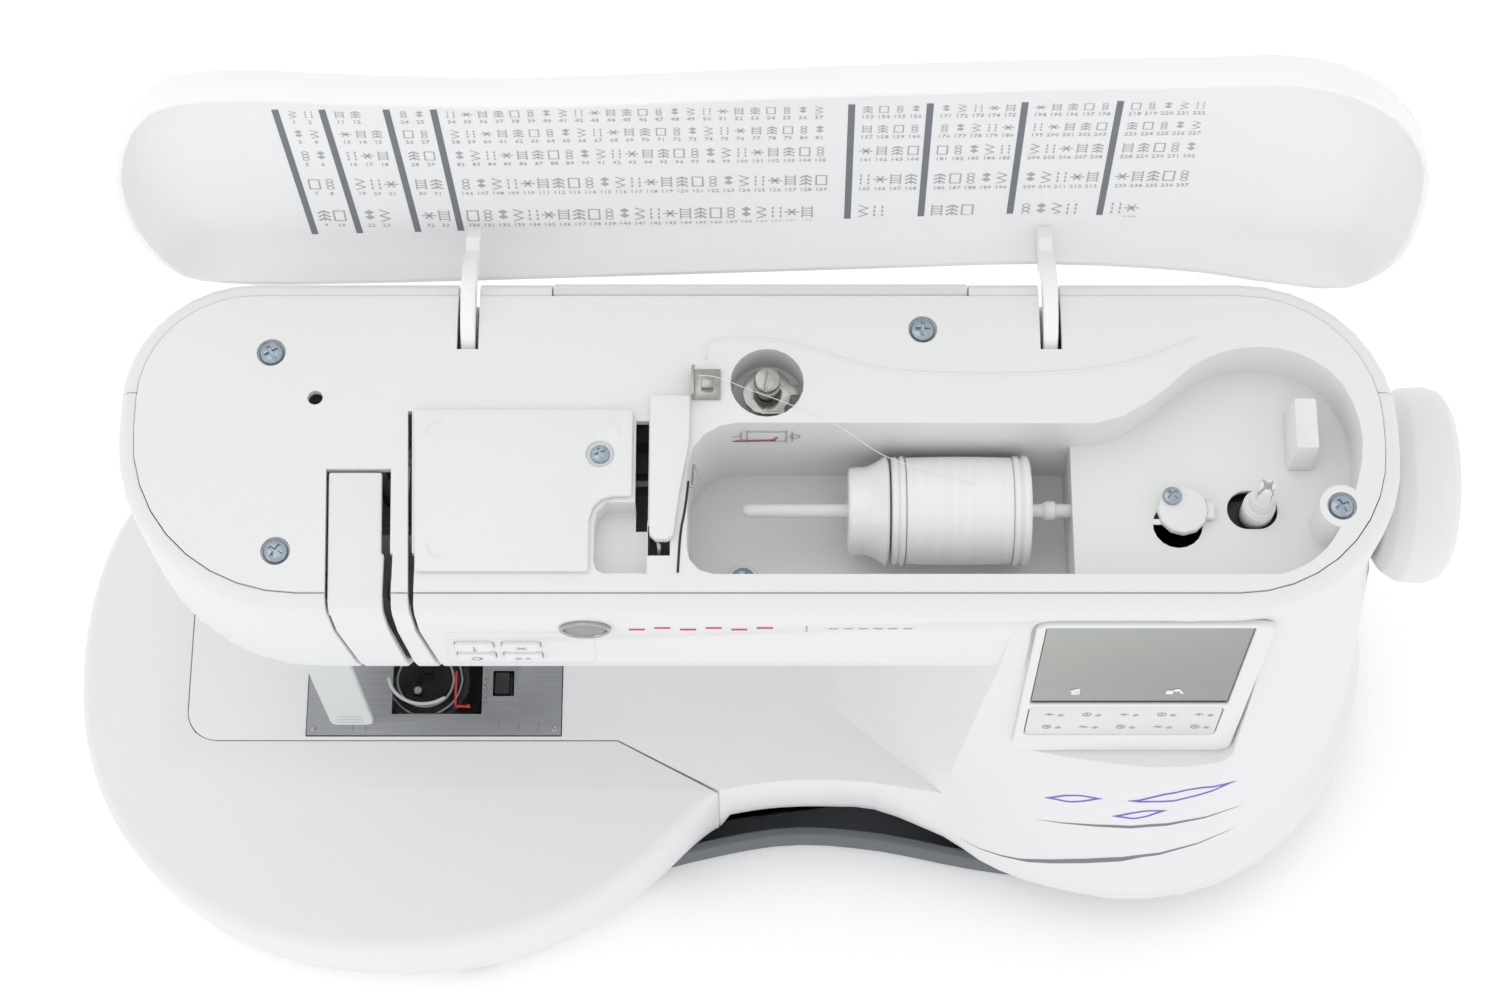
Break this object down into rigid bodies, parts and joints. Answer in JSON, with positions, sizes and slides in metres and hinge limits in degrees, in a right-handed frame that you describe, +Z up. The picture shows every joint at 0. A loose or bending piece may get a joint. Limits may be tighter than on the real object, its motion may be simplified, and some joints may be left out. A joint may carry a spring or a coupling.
{
  "type": "sewing machine",
  "caption": "Computerised household sewing machine with open hinged top lid, horizontal thread spool, touch screen column, free arm and slide-off extension table.",
  "frame": {"origin": "on the ground under the middle of the machine as it stands with its lid open", "axes": "+X to the right along the arm, towards the handwheel; +Y to the back; +Z up; the operator sits at -Y"},
  "size_m": [0.5198, 0.2257, 0.3823],
  "materials": {
    "white_cover": "smooth satin white ABS moulding",
    "lid_plastic": "slightly translucent white moulding",
    "grey_plastic": "fine satin light grey",
    "pan_plastic": "fine-textured dark grey moulding",
    "black_plastic": "fine-textured black moulding",
    "rubber": "matt black rubber",
    "brushed_plate": "finely brushed stainless plate",
    "zinc": "bright zinc-plated screw steel",
    "nickel": "polished nickel plate",
    "casting": "raw die-cast surface",
    "thread": "wound white polyester thread with soft sheen",
    "clear_plastic": "clear polished acrylic",
    "lcd_glass": "satin grey-green display window"
  },
  "bodies": {
    "machine": {"front_cover": "white_cover", "rear_cover": "white_cover", "top_deck": "white_cover", "deck_panel": "white_cover", "thread_channel_tongue": "white_cover", "guide_finger": "white_cover", "deck_screw_1": "zinc", "deck_screw_2": "zinc", "deck_screw_3": "zinc", "deck_screw_4": "zinc", "pretension_guide": "nickel", "tension_stud": "nickel", "tension_disc": "nickel", "spool_pin": "white_cover", "screen_bezel": "white_cover", "touch_screen": "lcd_glass", "key_strip": "grey_plastic", "base_pan": "pan_plastic", "rubber_foot_1": "rubber", "rubber_foot_2": "rubber", "rubber_foot_3": "rubber", "rubber_foot_4": "rubber", "rubber_foot_5": "rubber", "needle_plate": "brushed_plate", "power_inlet": "black_plastic", "drive_motor": "black_plastic", "drive_belt": "rubber", "frame_casting": "casting"},
    "lid": {"top_lid": "lid_plastic", "lid_hinge_1": "lid_plastic", "lid_hinge_2": "lid_plastic"},
    "handle": {"carry_handle": "white_cover"},
    "table": {"extension_table": "white_cover", "table_foot_1": "rubber", "table_foot_2": "rubber"},
    "drive": {"handwheel": "white_cover", "main_shaft": "nickel"},
    "motor_rotor": {"motor_pulley": "nickel"},
    "hook": {"rotary_hook": "black_plastic"},
    "bobbin": {"bobbin": "clear_plastic"},
    "bobbin_window": {"bobbin_cover": "clear_plastic"},
    "latch": {"cover_latch": "black_plastic"},
    "feed": {"feed_dog": "nickel"},
    "needle_carrier": {"needle_bar": "nickel", "needle": "nickel"},
    "presser": {"presser_bar": "nickel", "presser_foot": "nickel"},
    "lifter": {"presser_lifter": "grey_plastic"},
    "threader": {"threader_lever": "grey_plastic"},
    "take_up": {"take_up_lever": "nickel"},
    "thread_reel": {"thread_spool": "thread"},
    "reel_cap": {"spool_cap": "white_cover"},
    "winder_carriage": {"winder_arm": "black_plastic"},
    "winder": {"winder_spindle": "white_cover"},
    "stopper": {"winder_stopper": "white_cover"},
    "needle_position_key": {"needle_position_button": "white_cover"},
    "cutter_key": {"thread_cutter_button": "white_cover"},
    "reverse_key": {"reverse_button": "white_cover"},
    "start_key": {"start_stop_button": "white_cover"},
    "rocker": {"power_switch": "black_plastic"}
  },
  "joints": [
    {"name": "lid_hinge", "type": "hinge", "parent": "machine", "child": "lid", "pos_m": [0.01, 0.069, 0.269], "axis": [1, 0, 0], "range_deg": [0, 95.5]},
    {"name": "handle_hinge", "type": "hinge", "parent": "machine", "child": "handle", "pos_m": [0.0115, 0.0727, 0.2842], "axis": [1, 0, 0], "range_deg": [0, 20]},
    {"name": "table_slide", "type": "slide", "parent": "machine", "child": "table", "axis": [-1, 0, 0], "range_m": [0, 0.21]},
    {"name": "handwheel_turn", "type": "hinge", "parent": "machine", "child": "drive", "pos_m": [0, 0.0235, 0.228], "axis": [1, 0, 0], "continuous": true},
    {"name": "motor_turn", "type": "hinge", "parent": "machine", "child": "motor_rotor", "pos_m": [0, 0.0235, 0.088], "axis": [1, 0, 0], "continuous": true},
    {"name": "hook_turn", "type": "hinge", "parent": "machine", "child": "hook", "pos_m": [-0.1227, 0.0014, 0], "axis": [0, 0, 1], "continuous": true},
    {"name": "bobbin_turn", "type": "hinge", "parent": "machine", "child": "bobbin", "pos_m": [-0.1227, 0.0014, 0], "axis": [0, 0, 1], "continuous": true},
    {"name": "bobbin_cover_lift", "type": "slide", "parent": "machine", "child": "bobbin_window", "axis": [0, 0, 1], "range_m": [0, 0.012]},
    {"name": "cover_latch_slide", "type": "slide", "parent": "machine", "child": "latch", "axis": [1, 0, 0], "range_m": [0, 0.0016], "stiffness_N_per_m": 60, "springref_m": -0.003},
    {"name": "feed_dog_travel", "type": "slide", "parent": "machine", "child": "feed", "axis": [0, 1, 0], "range_m": [-0.0025, 0.0025]},
    {"name": "needle_bar_travel", "type": "slide", "parent": "machine", "child": "needle_carrier", "axis": [0, 0, 1], "range_m": [-0.031, 0]},
    {"name": "presser_lift", "type": "slide", "parent": "machine", "child": "presser", "axis": [0, 0, 1], "range_m": [0, 0.006]},
    {"name": "lifter_turn", "type": "hinge", "parent": "machine", "child": "lifter", "pos_m": [-0.12, 0.0695, 0.226], "axis": [1, 0, 0], "range_deg": [0, 60]},
    {"name": "threader_travel", "type": "slide", "parent": "machine", "child": "threader", "axis": [0, 0, 1], "range_m": [-0.025, 0], "stiffness_N_per_m": 20, "springref_m": 0.02},
    {"name": "take_up_turn", "type": "hinge", "parent": "machine", "child": "take_up", "pos_m": [-0.1128, 0.03, 0.2425], "axis": [1, 0, 0], "range_deg": [-12, 18]},
    {"name": "spool_turn", "type": "hinge", "parent": "machine", "child": "thread_reel", "pos_m": [0.08, 0.0015, 0.26], "axis": [1, 0, 0], "continuous": true},
    {"name": "spool_cap_slide", "type": "slide", "parent": "machine", "child": "reel_cap", "axis": [-1, 0, 0], "range_m": [0, 0.03]},
    {"name": "winder_engage", "type": "slide", "parent": "machine", "child": "winder_carriage", "axis": [-1, 0, 0], "range_m": [0, 0.0035]},
    {"name": "winder_turn", "type": "hinge", "parent": "winder_carriage", "child": "winder", "pos_m": [0.1811, -0.0008, 0], "axis": [0, 0, 1], "continuous": true},
    {"name": "stopper_turn", "type": "hinge", "parent": "machine", "child": "stopper", "pos_m": [0.1552, -0.0019, 0], "axis": [0, 0, 1], "range_deg": [-20, 20]},
    {"name": "needle_position_press", "type": "slide", "parent": "machine", "child": "needle_position_key", "axis": [0, 1, 0], "range_m": [0, 0.0012], "stiffness_N_per_m": 150, "springref_m": -0.001},
    {"name": "cutter_press", "type": "slide", "parent": "machine", "child": "cutter_key", "axis": [0, 1, 0], "range_m": [0, 0.0012], "stiffness_N_per_m": 150, "springref_m": -0.001},
    {"name": "reverse_press", "type": "slide", "parent": "machine", "child": "reverse_key", "axis": [0, 1, 0], "range_m": [0, 0.0012], "stiffness_N_per_m": 150, "springref_m": -0.001},
    {"name": "start_press", "type": "slide", "parent": "machine", "child": "start_key", "axis": [0, 1, 0], "range_m": [0, 0.0012], "stiffness_N_per_m": 150, "springref_m": -0.001},
    {"name": "power_rocker", "type": "hinge", "parent": "machine", "child": "rocker", "pos_m": [0.2425, 0.055, 0.075], "axis": [0, 1, 0], "range_deg": [-4, 4]}
  ],
  "couplings": [
    {"joint": "motor_turn", "follows": "handwheel_turn", "ratio": 2.7},
    {"joint": "hook_turn", "follows": "handwheel_turn", "ratio": 2},
    {"joint": "lifter_turn", "follows": "presser_lift", "rad_per_m": 174.5}
  ]
}
